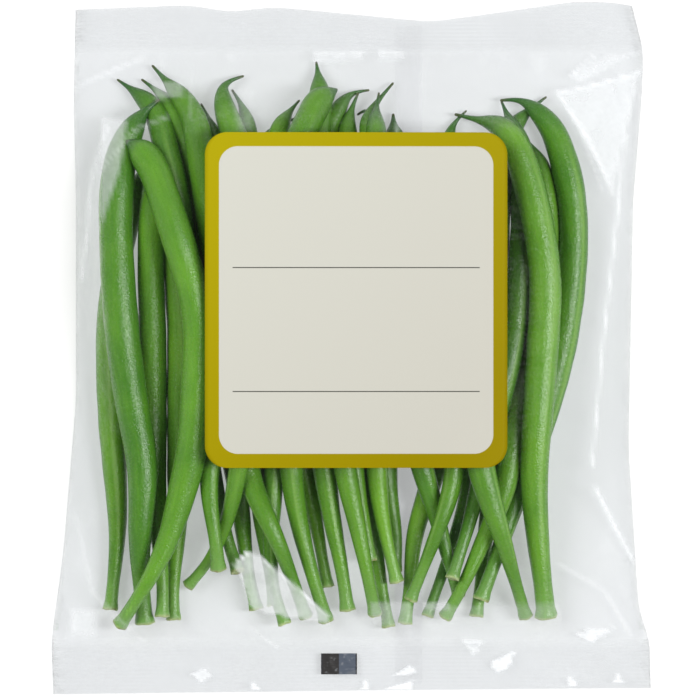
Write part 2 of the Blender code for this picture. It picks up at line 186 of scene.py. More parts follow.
# Light
KEY_PLACE = (0.72, -0.05, 0.98)
KEY_SIZE = (0.22, 0.7)
KEY_POWER = 11
FILL_PLACE = (-0.75, 0.25, 0.95)
FILL_SIZE = (0.7, 0.7)
FILL_POWER = 9
WALL_LIGHT = 0.5
CEILING_LIGHT = 0.12


# ------------------------------------------------------------------------------------------ small helpers


def spline(knots, values, at):
    """A natural cubic curve through values at the knots, read at the places in at."""
    count = len(knots)
    step = np.diff(knots)
    slope = np.diff(values, axis=0) / step[:, None]
    matrix = np.eye(count)
    right = np.zeros((count, values.shape[1]))
    for i in range(1, count - 1):
        matrix[i, i - 1 : i + 2] = step[i - 1], 2 * (step[i - 1] + step[i]), step[i]
        right[i] = 6 * (slope[i] - slope[i - 1])
    bend = np.linalg.solve(matrix, right)
    i = np.clip(np.searchsorted(knots, at, side="right") - 1, 0, count - 2)
    h, a, b = step[i][:, None], (knots[i + 1] - at)[:, None], (at - knots[i])[:, None]
    cubic = (bend[i] * a**3 + bend[i + 1] * b**3) / (6 * h)
    return cubic + (values[i] / h - bend[i] * h / 6) * a + (values[i + 1] / h - bend[i + 1] * h / 6) * b


def smoothstep(low, high, x):
    t = np.clip((x - low) / (high - low), 0, 1)
    return t * t * (3 - 2 * t)


def smoothed(line, rounds):
    """The same values, each drawn towards its neighbours, with the ends kept."""
    line = line.copy()
    for _ in range(rounds):
        line[1:-1] = (line[:-2] + 2 * line[1:-1] + line[2:]) / 4
    return line


def neighbour_mean(grid):
    """The mean of each cell's four neighbours, with the edge repeated outside the grid."""
    padded = np.pad(grid, 1, mode="edge")
    return (padded[:-2, 1:-1] + padded[2:, 1:-1] + padded[1:-1, :-2] + padded[1:-1, 2:]) / 4


def new_mesh(name, points, faces, attributes=None):
    """An object of these points and faces, shaded smooth, with float attributes on its points."""
    mesh = bpy.data.meshes.new(name)
    mesh.from_pydata([tuple(p) for p in points], [], faces)
    for key, values in (attributes or {}).items():
        values = np.asarray(values, np.float32)
        kind = "FLOAT" if values.ndim == 1 else "FLOAT_VECTOR"
        layer = mesh.attributes.new(key, kind, "POINT")
        layer.data.foreach_set("value" if kind == "FLOAT" else "vector", values.ravel())
    mesh.shade_smooth()
    mesh.validate()
    obj = bpy.data.objects.new(name, mesh)
    bpy.context.scene.collection.objects.link(obj)
    return obj


def tube_faces(rings, sides):
    """Quads of a tube of rings with the same number of points each."""
    return [
        (r * sides + s, r * sides + (s + 1) % sides, (r + 1) * sides + (s + 1) % sides, (r + 1) * sides + s)
        for r in range(rings - 1)
        for s in range(sides)
    ]


def sheet_faces(rows, columns):
    """Quads of a sheet of rows with the same number of points each."""
    return [
        (r * columns + c, r * columns + c + 1, (r + 1) * columns + c + 1, (r + 1) * columns + c)
        for r in range(rows - 1)
        for c in range(columns - 1)
    ]


class Nodes:
    """A material's node tree, with short ways to add and join nodes."""

    def __init__(self, name):
        self.material = bpy.data.materials.new(name)
        self.material.use_nodes = True
        self.tree = self.material.node_tree
        self.tree.nodes.clear()
        self.output = self.tree.nodes.new("ShaderNodeOutputMaterial")

    def add(self, kind, inputs=None, **settings):
        node = self.tree.nodes.new("ShaderNode" + kind)
        for key, value in settings.items():
            setattr(node, key, value)
        for key, value in (inputs or {}).items():
            if isinstance(value, bpy.types.NodeSocket):
                self.tree.links.new(value, node.inputs[key])
            else:
                node.inputs[key].default_value = value
        return node

    def attribute(self, name):
        return self.add("Attribute", attribute_name=name)

    def math(self, operation, a, b=0.0, clamp=False):
        return self.add("Math", {0: a, 1: b}, operation=operation, use_clamp=clamp).outputs[0]

    def mix(self, factor, a, b):
        node = self.add("Mix", data_type="RGBA")
        for socket, value in ((0, factor), (6, a), (7, b)):
            if isinstance(value, bpy.types.NodeSocket):
                self.tree.links.new(value, node.inputs[socket])
            else:
                node.inputs[socket].default_value = value if socket == 0 else (*value, 1.0)
        return node.outputs[2]

    def noise(self, vector, scale, detail=3.0, roughness=0.5):
        inputs = {"Vector": vector, "Scale": scale, "Detail": detail, "Roughness": roughness}
        return self.add("TexNoise", inputs).outputs["Fac"]

    def range(self, value, low, high, to_low=0.0, to_high=1.0):
        inputs = {"Value": value, 1: low, 2: high, 3: to_low, 4: to_high}
        return self.add("MapRange", inputs).outputs[0]

    def place(self):
        return self.add("TexCoord").outputs["Object"]

    def finish(self, shader):
        self.tree.links.new(shader, self.output.inputs["Surface"])
        return self.material


# ------------------------------------------------------------------------------------------------- pods


def cad_rings(node):
    """Centre and radius of each ring of a pod in the frame, from its beak to its cut end."""
    mesh = node.data
    raw = np.array([vert.co for vert in mesh.vertices])
    _, first, index = np.unique(np.round(raw, 6), axis=0, return_index=True, return_inverse=True)
    points, index = raw[first], index.reshape(-1)
    apart = np.linalg.norm(points[:, None] - points[None], axis=2)
    crowd = np.sort(apart, axis=1)[:, CAD_SIDES - 1]
    ring = set(np.argsort(apart[crowd.argmin()])[:CAD_SIDES].tolist())
    beside = {i: set() for i in range(len(points))}
    for face in mesh.polygons:
        corners = [int(index[v]) for v in face.vertices]
        for a, b in zip(corners, corners[1:] + corners[:1]):
            beside[a].add(b)
            beside[b].add(a)
    centres, radii, seen = [], [], set()
    while ring:
        members = points[sorted(ring)]
        centre = members.mean(axis=0)
        centres.append(centre)
        radii.append(np.linalg.norm(members - centre, axis=1).mean())
        seen |= ring
        ring = set().union(*(beside[i] for i in ring)) - seen
    return np.array(centres), np.array(radii)


def pod_shape(node, rng):
    """Centre line, radius and directions of a pod, at POD_STEPS places from its beak to its cut."""
    centres, radii = cad_rings(node)
    along = np.concatenate([[0], np.cumsum(np.linalg.norm(np.diff(centres, axis=0), axis=1))])
    length = along[-1]
    even = np.linspace(0, 1, POD_STEPS)
    # Closer together at the beak and at the cut, where the shape changes fastest
    at = length * (even - 0.06 * np.sin(2 * math.pi * even))
    centre = spline(along, centres, at)
    radius = PLUMP * np.interp(at, along, radii)
    beak = BEAKS.get(node.name, 1.0)
    shoulder = np.interp(at / MM / beak, *zip(*SHOULDER))
    if beak < BLUNT_BEAK:
        shoulder = np.maximum(shoulder, BLUNT_GIRTH * np.sqrt(np.minimum(1, at / MM)))
    radius = np.where(at < SHOULDER_SHARE * length, PLUMP * radii.max() * shoulder, radius)
    radius = smoothed(radius, 4)
    taper = STEM_TAPERS.get(node.name, STEM_TAPER)
    radius *= 1 - (1 - taper) * smoothstep(0.66, 0.95, at / length)
    radius *= 1 + STEM_FLARE * smoothstep(length - STEM_FLARE_LENGTH, length - 0.4 * MM, at)
    tangent = np.gradient(centre, axis=0)
    tangent /= np.linalg.norm(tangent, axis=1)[:, None]
    side = np.cross(tangent, (0, 0, 1))
    side /= np.linalg.norm(side, axis=1)[:, None]
    up = np.cross(side, tangent)
    phase, tone = rng.uniform(0, 2 * math.pi), rng.uniform(0, 1)
    return {
        "at": at, "length": length, "centre": centre, "radius": radius, "side": side, "up": up,
        "tangent": tangent, "beak": BEAK_LENGTH * beak, "tone": tone,
        "phase": SUTURES.get(node.name, phase),
    }


def pod_girth(shape, angle, turn):
    """Each point's reach from the centre line, as a share of the radius, and how deep it lies in a suture."""
    at, length = shape["at"], shape["length"]
    from_edge = np.cos(2 * (angle[None] - turn[:, None]))  # 1 on a suture, -1 in the middle of a flat side
    middle = smoothstep(0.1, 0.25, at / length) * smoothstep(1.0, 0.82, at / length)
    beat = np.cos(2 * math.pi * at / SEED_PITCH + shape["phase"])
    swell = SEED_SWELL * middle * (0.5 + 0.5 * beat)
    girth = 1 + OVAL * from_edge * middle[:, None] + swell[:, None] * (0.5 - 0.5 * from_edge)
    suture = smoothstep(0.93, 1.0, from_edge) * middle[:, None]
    girth -= GROOVE * suture
    apart = Vector((0, 0, 20 * shape["tone"]))
    lumps = np.array([
        [noise.noise(Vector((math.cos(a) * 1.1, math.sin(a) * 1.1, s / LUMP_LENGTH)) + apart) for a in angle]
        for s in at
    ])
    girth += LUMPS * lumps
    ragged = smoothstep(length - CUT_RIM, length, at)[:, None]
    girth += RAGGED * ragged * np.sin(5 * angle + shape["phase"])[None]
    return girth, suture


def cut_face(shape, rim, angle):
    """The smaller rings inside the rim of the cut, a little uneven."""
    end, out = shape["centre"][-1], shape["tangent"][-1]
    rings = []
    for share, above in CUT_RINGS:
        wobble = CUT_WOBBLE * np.sin(3 * angle + shape["phase"] + 5 * share)
        rings.append(end + (rim - end) * share + out * (above * MM + wobble)[:, None])
    return np.array(rings)


def pod_piece(name, shape, rng):
    """The fine surface of one pod: oval, swollen over its seeds, with a suture down each edge."""
    angle = np.linspace(0, 2 * math.pi, POD_SIDES, endpoint=False)
    at, length = shape["at"], shape["length"]
    turn = shape["phase"] + rng.uniform(-SUTURE_TWIST, SUTURE_TWIST) * at / length
    girth, suture = pod_girth(shape, angle, turn)
    reach = shape["radius"][:, None] * girth
    aside, above = np.cos(angle)[None, :, None], np.sin(angle)[None, :, None]
    ring = shape["side"][:, None] * aside + shape["up"][:, None] * above
    points = shape["centre"][:, None] + ring * reach[..., None]
    rings = np.concatenate([points, cut_face(shape, points[-1], angle)])
    end = shape["centre"][-1] - shape["tangent"][-1] * CUT_SINK
    start = shape["centre"][0] - shape["tangent"][0] * BEAK_POINT
    flat = np.concatenate([rings.reshape(-1, 3), [end, start]])
    faces = [face[::-1] for face in tube_faces(len(rings), POD_SIDES)]
    last = (len(rings) - 1) * POD_SIDES
    faces += [(last + s, last + (s + 1) % POD_SIDES, len(flat) - 2)[::-1] for s in range(POD_SIDES)]
    faces += [(s, (s + 1) % POD_SIDES, len(flat) - 1) for s in range(POD_SIDES)]

    along = np.repeat(at[:, None] / length, POD_SIDES, axis=1)
    cut = np.repeat(smoothstep(length - CUT_RIM, length - 0.25 * CUT_RIM, at)[:, None], POD_SIDES, axis=1)
    grain = np.repeat(at[:, None] * GRAIN, POD_SIDES, axis=1)
    skin = np.stack([np.cos(angle)[None] * reach, np.sin(angle)[None] * reach, grain], axis=2)
    extra = len(CUT_RINGS) * POD_SIDES

    def padded(values, on_face, at_end, at_start):
        """The rings' values, followed by those of the cut face, its middle and the beak's point."""
        return np.concatenate([values.reshape(-1), np.full(extra, on_face), [at_end, at_start]])

    return new_mesh(name, flat, faces, {
        "along": padded(along, 1.0, 1.0, 0.0),
        "beak": padded(np.maximum(1 - along * length / shape["beak"], 0), 0.0, 0.0, 1.0),
        "cut": padded(cut, 1.0, 1.0, 0.0),
        "suture": padded(suture, 0.0, 0.0, 0.0),
        "tone": np.full(len(flat), shape["tone"]),
        "skin": np.concatenate([skin.reshape(-1, 3), np.tile(skin[-1].mean(axis=0), (extra + 2, 1))]),
    })


def bean_material(name, light, deep):
    """Waxy bean skin: mottled green, finely pebbled, pale at the cut end and brownish at the beak's tip, with
    painted shade where it turns away from the eye.
    """
    n = Nodes(name)
    along = n.attribute("along").outputs["Fac"]
    beak = n.attribute("beak").outputs["Fac"]
    cut = n.attribute("cut").outputs["Fac"]
    suture = n.attribute("suture").outputs["Fac"]
    tone = n.attribute("tone").outputs["Fac"]
    skin = n.attribute("skin").outputs["Vector"]
    place = n.place()
    streaks = n.noise(skin, 900.0, 4.0, 0.6)
    broad = n.noise(place, 55.0, 2.0)
    fine = n.noise(place, 1500.0, 2.0)
    shade = n.math("ADD", n.math("MULTIPLY", streaks, 0.55), n.math("MULTIPLY", broad, 0.75))
    shade = n.math("ADD", shade, n.math("MULTIPLY", tone, 0.35))
    shade = n.range(shade, 0.55, 1.15)
    color = n.mix(shade, deep, light)
    # Painted shade: the green darkens towards the pod's outline, where the skin turns away from the eye
    rim = n.range(n.add("LayerWeight", {"Blend": 0.5}).outputs["Facing"], 0.35, 0.95, 0.0, 0.55)
    color = n.mix(rim, color, RIM_SHADE_GREEN)
    color = n.mix(n.math("MULTIPLY", suture, 0.65), color, SUTURE_GREEN)
    color = n.mix(n.range(fine, 0.62, 0.75, 0.0, 0.25), color, FLECK_GREEN)
    color = n.mix(n.math("MULTIPLY", beak, 0.95), color, BEAK_GREEN)
    tip = n.range(beak, 0.85, 1.0)
    color = n.mix(n.math("MULTIPLY", tip, 0.7), color, TIP_BROWN)
    stem = n.range(along, 0.9, 0.99)
    color = n.mix(n.math("MULTIPLY", stem, 0.5), color, STEM_GREEN)
    fibres = n.noise(place, 2600.0, 3.0, 0.7)
    flesh = n.mix(n.range(fibres, 0.35, 0.65), FLESH_DARK, FLESH_LIGHT)
    spots = n.range(n.noise(place, 700.0, 2.0), 0.58, 0.7, 0.0, 0.8)
    color = n.mix(cut, color, n.mix(spots, flesh, FLESH_SPOT))
    pebble = n.noise(place, 2000.0, 2.0, 0.6)
    bump = n.add("Bump", {"Strength": 1.0, "Distance": 0.16 * MM, "Height": pebble})
    ribs = n.noise(skin, 1500.0, 2.0)
    ribbed = n.add("Bump", {
        "Strength": 0.5, "Distance": 0.12 * MM, "Height": ribs, "Normal": bump.outputs["Normal"],
    })
    rough = n.range(n.noise(place, 400.0, 3.0), 0.3, 0.7, 0.22, 0.34)
    rough = n.math("ADD", rough, n.math("MULTIPLY", cut, 0.35))
    shader = n.add("BsdfPrincipled", {
        "Base Color": color, "Roughness": rough, "Normal": ribbed.outputs["Normal"],
        "Specular IOR Level": 0.65, "Subsurface Weight": 0.05, "Subsurface Scale": 1.0 * MM,
    })
    return n.finish(shader.outputs[0])


# ------------------------------------------------------------------------------------------------- film


def tree_of(name):
    node = NODES[name]
    return BVHTree.FromPolygons([v.co for v in node.data.vertices], [p.vertices for p in node.data.polygons])


def height_at(tree, x, y):
    """Height of the first surface met from above over (x, y)."""
    hit = tree.ray_cast(Vector((x, y, 1.0)), Vector((0, 0, -1.0)))[0]
    return hit.z


def soft_line(points):
    """A line through these millimetre points with its corners rounded, as two arrays in metres."""
    at, value = np.array(points).T
    fine = np.arange(at[0], at[-1] + 1, 1.0)
    return fine * MM, smoothed(np.interp(fine, at, value), 12) * MM


OUTLINE = {
    "left": soft_line(LEFT_SIDE), "right": soft_line(RIGHT_SIDE),
    "top": soft_line(TOP_EDGE), "bottom": soft_line(BOTTOM_EDGE),
}


def sides(y):
    """X of the pouch's left and right edges at y."""
    return np.interp(y, *OUTLINE["left"]), np.interp(y, *OUTLINE["right"])


def band_height(x, y):
    """Mid height of a crimped band, which ripples across the pack."""
    return BAND_LIFT + BAND_RIPPLE * np.sin(x / (13 * MM) + y / (40 * MM)) * np.cos(x / (31 * MM))


def crowns(shapes, xs, ys):
    """Height of the pods' upper sides on a grid, with 0 where there is no pod."""
    top = np.zeros((len(ys), len(xs)))
    for shape in shapes:
        for (x, y, z), radius in zip(shape["centre"], shape["radius"]):
            i0, i1 = np.searchsorted(xs, (x - radius, x + radius))
            j0, j1 = np.searchsorted(ys, (y - radius, y + radius))
            dx, dy = xs[None, i0:i1] - x, ys[j0:j1, None] - y
            room = (radius * CROWN_ROOM) ** 2 - dx**2 - dy**2
            dome, near = z + np.sqrt(np.maximum(room, 0)), room > 0
            part = top[j0:j1, i0:i1]
            part[near] = np.maximum(part, dome)[near]
    return top


# Creases where the film is folded or pulled: points along each, its height and half width, all in millimetres
CREASES = (
    (((59, 73), (83, 79)), 0.5, 1.2),
    (((59, 73), (68, 60), (75, 44)), 0.5, 1.0),
    (((79, 61), (72, 0), (69, -34)), 0.7, 0.9),
    (((70, -40), (75, -50), (81, -61)), 0.8, 1.0),
    (((-70, 63), (-74, 48), (-77, 20)), 0.5, 1.3),
    (((-79, 75), (-60, 83)), 0.4, 1.2),
    (((-33, -62), (-30, -58.5), (-26.5, -59), (-17, -67), (-6, -77)), 0.7, 0.6),
    (((-46, 65), (-46, 84)), 0.3, 0.7),
    (((-52, 66), (-62, 62), (-72, 50)), 0.3, 1.0),
    (((13, 61), (13, 84)), 0.25, 0.6),
    (((20, 61), (20, 84)), 0.25, 0.6),
    (((72, 45), (66, 61)), 0.3, 0.6),
    (((64, 79), (70, 84)), 0.5, 0.8),
    (((60, -62), (73, -70), (80, -82)), 0.3, 1.2),
    (((-28, -81), (-21, -86)), 0.5, 0.6),
    (((-60, -84), (-74, -70), (-79, -48)), 0.3, 1.4),
)


def crease_height(x, y):
    """Height that the creases add at (x, y), arrays in metres."""
    total = np.zeros(np.shape(x))
    for points, height, width in CREASES:
        nearest = np.full(np.shape(x), 1e9)
        for (ax, ay), (bx, by) in zip(points, points[1:]):
            a, d = np.array((ax, ay)) * MM, np.array((bx - ax, by - ay)) * MM
            t = np.clip(((x - a[0]) * d[0] + (y - a[1]) * d[1]) / (d @ d), 0, 1)
            nearest = np.minimum(nearest, np.hypot(x - a[0] - t * d[0], y - a[1] - t * d[1]))
        total += height * MM * np.maximum(1 - nearest / (width * MM), 0) ** 1.4
    return total


def ridged(x, y, scale_x, scale_y, offset):
    """Sharp-crested folds, from 0 to 1, of the given sizes along X and Y."""
    value = noise.noise(Vector((x / scale_x + offset, y / scale_y, offset)))
    return max(0.0, 1 - 3.2 * abs(value)) ** 2


def wrinkle_height(x, y):
    """Gathers that run in from the crimped bands, and slack folds along the sides."""
    left, right = sides(y)
    from_band = min(abs(y - LOW_SEAL), abs(HIGH_SEAL - y))
    from_side = min(x - left, right - x)
    gather = ridged(x, y, 9 * MM, 45 * MM, 3.1) * math.exp(-from_band / (13 * MM))
    slack = ridged(x + 0.4 * y, y, 14 * MM, 30 * MM, 8.7) * math.exp(-max(from_side, 0) / (16 * MM))
    rumple = ridged(x, y, 26 * MM, 26 * MM, 15.2)
    edge = min(1.0, max(from_side, 0) / (3 * MM))
    return edge * MM * (0.55 * gather + 0.5 * slack + 0.22 * rumple)


def drawn_tight(height, least, held):
    """The film relaxed onto the least heights under it. Where it is held, it stays as it is."""
    height = height.copy()
    for _ in range(TIGHTENING):
        height[~held] = np.maximum(least, neighbour_mean(height))[~held]
    return height


class Skin:
    """The front film as a height field: drawn tight over the pods, arched under the label, then wrinkled."""

    def __init__(self, shapes, arch, label_box):
        (lx0, ly0, _), (lx1, ly1, _) = label_box
        self.xs = np.arange(-GRID_REACH, GRID_REACH + 0.1 * MM, CELL)
        self.ys = np.linspace(LOW_SEAL, HIGH_SEAL, round((HIGH_SEAL - LOW_SEAL) / CELL) + 1)
        x, y = np.meshgrid(self.xs, self.ys)
        pods = crowns(shapes, self.xs, self.ys)
        least = np.where(pods > 0, pods + FILM_CLEAR, 1.0 * MM)
        left, right = sides(self.ys)
        outside = (x < left[:, None] + 0.5 * CELL) | (x > right[:, None] - 0.5 * CELL)
        on_label = (x > lx0 - 1 * MM) & (x < lx1 + 1 * MM) & (y > ly0 - 1 * MM) & (y < ly1 + 1 * MM)
        least[on_label] = np.interp(x[on_label], *arch) - FILM_UNDER_LABEL
        ends = [band_height(self.xs, py) + BAND_THICK / 2 for py in (LOW_SEAL, HIGH_SEAL)]
        height = least.copy()
        height[0], height[-1] = ends
        height[outside] = SIDE_FOLD
        held = outside | on_label
        held[0] = held[-1] = True
        height = drawn_tight(height, least, held)
        wrinkles = np.array([[wrinkle_height(px, py) for px in self.xs] for py in self.ys])
        # Where the sharpest wrinkles crest; a glint is painted on the film there
        self.crest = np.where(outside, 0, smoothstep(0.3 * MM, 0.8 * MM, wrinkles))
        wrinkles += crease_height(x, y)
        from_label = np.maximum.reduce([lx0 - x, x - lx1, ly0 - y, y - ly1])
        wrinkles *= np.clip(from_label / (5 * MM), 0, 1) * (~outside)
        for _ in range(3):
            height = np.where(outside, height, (height + neighbour_mean(height)) / 2)
        floor = np.where(pods > 0, pods + 0.4 * FILM_CLEAR, 0.6 * MM)
        height = np.maximum(height + wrinkles, floor)
        height[0], height[-1] = ends
        self.height = height

    def at(self, x, y, grid=None):
        """Height at (x, y), arrays, read between the grid's points, or the value of another grid."""
        i = np.clip((x - self.xs[0]) / (self.xs[1] - self.xs[0]), 0, len(self.xs) - 1.001)
        j = np.clip((y - self.ys[0]) / (self.ys[1] - self.ys[0]), 0, len(self.ys) - 1.001)
        i0, j0 = i.astype(int), j.astype(int)
        u, v = i - i0, j - j0
        grid = self.height if grid is None else grid
        low = grid[j0, i0] * (1 - u) + grid[j0, i0 + 1] * u
        high = grid[j0 + 1, i0] * (1 - u) + grid[j0 + 1, i0 + 1] * u
        return low * (1 - v) + high * v


def pressed(x, distance):
    """How firmly the crimping tool pressed at each place of a band, from 0 to 1."""
    wave = np.sin(x / (17 * MM) + 1.3) * np.sin(x / (7.3 * MM) + distance / (5 * MM))
    return 0.5 + 0.5 * wave


def rib_height(distance, x):
    """The crimp's fine ribs, which run across the pack and fade where the tool pressed less."""
    return RIB_HEIGHT * pressed(x, distance) * np.sin(2 * math.pi * distance / RIB_PITCH)


def band_dents(x, y):
    """Small sharp dents and lifts of a crimped band."""
    broad = ridged(x, y, 15 * MM, 8 * MM, 21.4)
    small = ridged(x, y, 6 * MM, 7 * MM, 33.0)
    return 0.55 * MM * broad + 0.3 * MM * small


# Places where the film is creased milky white, and facets that turn a bright side up, their glint painted
# white:
# corners, whiteness from 0 to 1, soft edge; all lengths are in millimetres
GLINT_AND_MILK_FACETS = (
    (((59, 73), (83, 79.5), (75, 45)), 0.26, 0.8),
    (((66, 76), (82, 85), (74, 84), (62, 78)), 0.25, 0.8),
    (((-10.5, 82), (-10.5, 85), (3.5, 85), (3.5, 82.5)), 0.3, 1.0),
    (((8, 82.5), (8, 85.5), (15.5, 85), (15.5, 82.5)), 0.3, 1.0),
    (((-71.5, 66), (-64, 65), (-66, 50), (-71.5, 34)), 0.3, 1.6),
    (((-57, 76), (-48, 76), (-48, 72), (-56, 71)), 0.2, 1.2),
    (((-34, 74), (-28, 74), (-28, 62), (-32, 62)), 0.12, 2.4),
    (((-33, -62), (-30, -58.5), (-26.5, -59), (-17, -67), (-6, -77), (-7, -79), (-28, -75)), 0.42, 0.5),
    (((5.7, -73), (17, -73), (17, -79.5), (6, -79)), 0.22, 0.8),
    (((20.5, -73), (28.5, -73), (28, -75.5), (21, -75.5)), 0.25, 0.8),
    (((17, -74), (60, -73), (60, -79), (17, -79)), 0.1, 1.2),
    (((64, -82), (69, -84.5), (76, -80), (68, -81)), 0.5, 0.5),
    (((31.5, -83.5), (38, -84), (35.5, -88.5)), 0.3, 0.5),
    (((40, -90), (47, -87), (51, -90), (45, -92), (43, -97)), 0.5, 0.5),
    (((12, -94), (17, -91), (19, -93), (16, -94)), 0.5, 0.5),
    (((-80.5, -75), (-72.5, -75), (-73, -83), (-80, -82)), 0.25, 1.5),
    (((-46, -93.5), (-42, -92), (-40, -94), (-43, -96)), 0.4, 0.6),
    (((3, -98), (4, -95), (5, -98)), 0.7, 0.4),
    (((9, -98), (18, -95.5), (17, -98)), 0.7, 0.4),
    (((-29, -98), (-28, -96), (-26, -98)), 0.6, 0.4),
    (((62, -97), (63, -94), (65, -97)), 0.5, 0.4),
    (((75, -96), (77, -93), (78, -96)), 0.5, 0.4),
)


def facet_milk_and_glint(x, y):
    """How white the film is at (x, y), arrays in metres, at its creased places: milky creasing, and painted
    glints where facets catch the light.
    """
    most = np.zeros(np.shape(x))
    for corners, milk_and_glint, soft in GLINT_AND_MILK_FACETS:
        ends = corners[1:] + corners[:1]
        area = sum(ax * by - bx * ay for (ax, ay), (bx, by) in zip(corners, ends))
        depth = np.full(np.shape(x), 1e9)
        for (ax, ay), (bx, by) in zip(corners, ends):
            off = ((bx - ax) * (y / MM - ay) - (by - ay) * (x / MM - ax)) / math.hypot(bx - ax, by - ay)
            depth = np.minimum(depth, math.copysign(1, area) * off)
        most = np.maximum(most, milk_and_glint * smoothstep(-0.5 * soft, 0.5 * soft, depth))
    return most


def body_heights(skin, x, y, front):
    """Heights along a row of the pouch between its crimped bands."""
    if front:
        return skin.at(x, y)
    sag = smoothstep(0, 9 * MM, np.minimum(y - LOW_SEAL, HIGH_SEAL - y))
    return (band_height(x, y) - BAND_THICK / 2) * (1 - sag) + BACK_LIFT * sag


def band_heights(x, y, seal, share, front):
    """Heights along a row of a crimped band."""
    lift = [rib_height(abs(py - seal), px) + band_dents(px, py) for px, py in zip(x, y)]
    half = BAND_THICK / 2 if front else -BAND_THICK / 2
    return band_height(x, y) + min(1.0, 6 * share) * np.array(lift) + half


def film_row(skin, part, share, u, front):
    """Points of one row of the pouch's front or back, at the shares u of the way across."""
    seal = HIGH_SEAL if part == "top" else LOW_SEAL
    y = np.full(len(u), seal)
    # x follows from y and, towards a cut end, y from x
    for _ in range(3):
        left, right = sides(y)
        x = left + u * (right - left)
        if part == "body":
            y = np.full(len(u), LOW_SEAL + share * (HIGH_SEAL - LOW_SEAL))
        else:
            y = seal * (1 - share) + np.interp(x, *OUTLINE[part]) * share
    if part == "body":
        z = body_heights(skin, x, y, front)
    else:
        z = band_heights(x, y, seal, share, front)
    return np.column_stack([x, y, np.maximum(z, LEAST_HEIGHT)])


def film_milk_and_glint(skin, x, y, band):
    """How white the film is at each point, where it is creased, crested or ribbed: milky creasing, and
    painted glints and sheen.
    """
    milk_and_glint = facet_milk_and_glint(x, y) + CREASE_GLINT * crease_height(x, y) / MM
    milk_and_glint += CREST_GLINT * (band == 0) * skin.at(x, y, skin.crest)
    # Painted sheen: the crimped bands are whitened in stripes along their ribs, as their lit sides would show
    outer = np.maximum(LOW_SEAL - y, y - HIGH_SEAL)
    ribs = 1 + np.sin(2 * math.pi * outer / RIB_PITCH)
    return milk_and_glint + np.where(outer > 0, RIB_SHEEN * ribs * pressed(x, outer), 0)


def film_piece(skin):
    """The whole pouch as one tube of film: front columns from left to right, then back columns."""
    rows = [("bottom", share) for share in np.linspace(1, 0, BAND_ROWS)]
    rows += [("body", share) for share in np.linspace(0, 1, BODY_ROWS)[1:-1]]
    rows += [("top", share) for share in np.linspace(0, 1, BAND_ROWS)]
    fronts = np.linspace(0, 1, FRONT_COLUMNS)
    backs = np.linspace(1, 0, BACK_COLUMNS)[1:-1]
    across = len(fronts) + len(backs)
    points = np.concatenate([
        film_row(skin, part, share, u, front)
        for part, share in rows
        for u, front in ((fronts, True), (backs, False))
    ])
    band = np.repeat([0.0 if part == "body" else min(1.0, 5 * share) for part, share in rows], across)
    front = np.tile(np.arange(across) < len(fronts), len(rows))
    milk_and_glint = film_milk_and_glint(skin, points[:, 0], points[:, 1], band)
    faces = [face[::-1] for face in tube_faces(len(rows), across)]
    return new_mesh("clear_film", points, faces, {"band": band, "milk_and_glint": np.where(front, milk_and_glint, 0.0)})


def film_material(name, tint, shine, haze, crimp_haze):
    """Clear glossy film: see-through, mirroring more at a slant, milky where it is crimped or creased, with
    painted glints where it is creased, crested or ribbed.

    tint is the light it lets through, shine the mirroring at a slant, and haze the milkiness of level film.
    """
    n = Nodes(name)
    place = n.place()
    band = n.attribute("band").outputs["Fac"]
    milk_and_glint = n.attribute("milk_and_glint").outputs["Fac"]
    cloud = n.range(n.noise(place, 45.0, 3.0), 0.3, 0.75, 0.4, 1.6)
    patchy = n.range(n.noise(place, 160.0, 4.0, 0.6), 0.36, 0.62, 0.85, 1.12)
    scuffs = n.noise(place, 420.0, 4.0, 0.65)
    bump = n.add("Bump", {"Strength": 1.0, "Distance": 1.2 * MM, "Height": n.noise(place, 110.0, 4.0, 0.55)})
    # Painted shade: the crimped bands let through a little less light than the rest of the film
    crimped = [CRIMP_SHADE * share for share in tint]
    clear = n.add("BsdfTransparent", {"Color": n.mix(band, tint, crimped)})
    rough = n.range(scuffs, 0.3, 0.7, 0.1, 0.22)
    gloss = n.add("BsdfGlossy", {"Color": (1, 1, 1, 1), "Roughness": rough, "Normal": bump.outputs[0]})
    slant = n.add("LayerWeight", {"Blend": 0.5, "Normal": bump.outputs[0]}).outputs["Facing"]
    # Less mirror face on than real film has, so that the beans under it stay clear
    mirror = n.math("MULTIPLY", n.math("POWER", slant, 4.0), shine)
    mirror = n.math("MINIMUM", n.math("ADD", mirror, FACE_ON_MIRROR), MOST_MIRROR)
    sheet = n.add("MixShader", {0: mirror, 1: clear.outputs[0], 2: gloss.outputs[0]})
    milk_and_glint_bsdf = n.add("BsdfDiffuse", {"Color": (*MILK_AND_GLINT_COLOUR, 1)})
    amount = n.math("MULTIPLY", n.math("ADD", n.math("MULTIPLY", band, crimp_haze), haze), cloud)
    # Painted highlights: the attribute whitens the film where facets, creases, crests and ribs would catch
    # the light
    amount = n.math("ADD", amount, n.math("MULTIPLY", milk_and_glint, patchy), clamp=True)
    both = n.add("MixShader", {0: amount, 1: sheet.outputs[0], 2: milk_and_glint_bsdf.outputs[0]})
    return n.finish(both.outputs[0])


# ------------------------------------------------------------------------------------------------ label


def label_arch():
    """The arch across the top of the label in the frame, as arrays of x and z, and the label's box."""
    low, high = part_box("label")
    tree = tree_of("label")
    middle = (low.y + high.y) / 2
    xs = np.linspace(low.x + 0.05 * MM, high.x - 0.05 * MM, 40)
    zs = np.array([height_at(tree, x, middle) for x in xs])
    return (xs, smoothed(zs, 3)), (low, high)


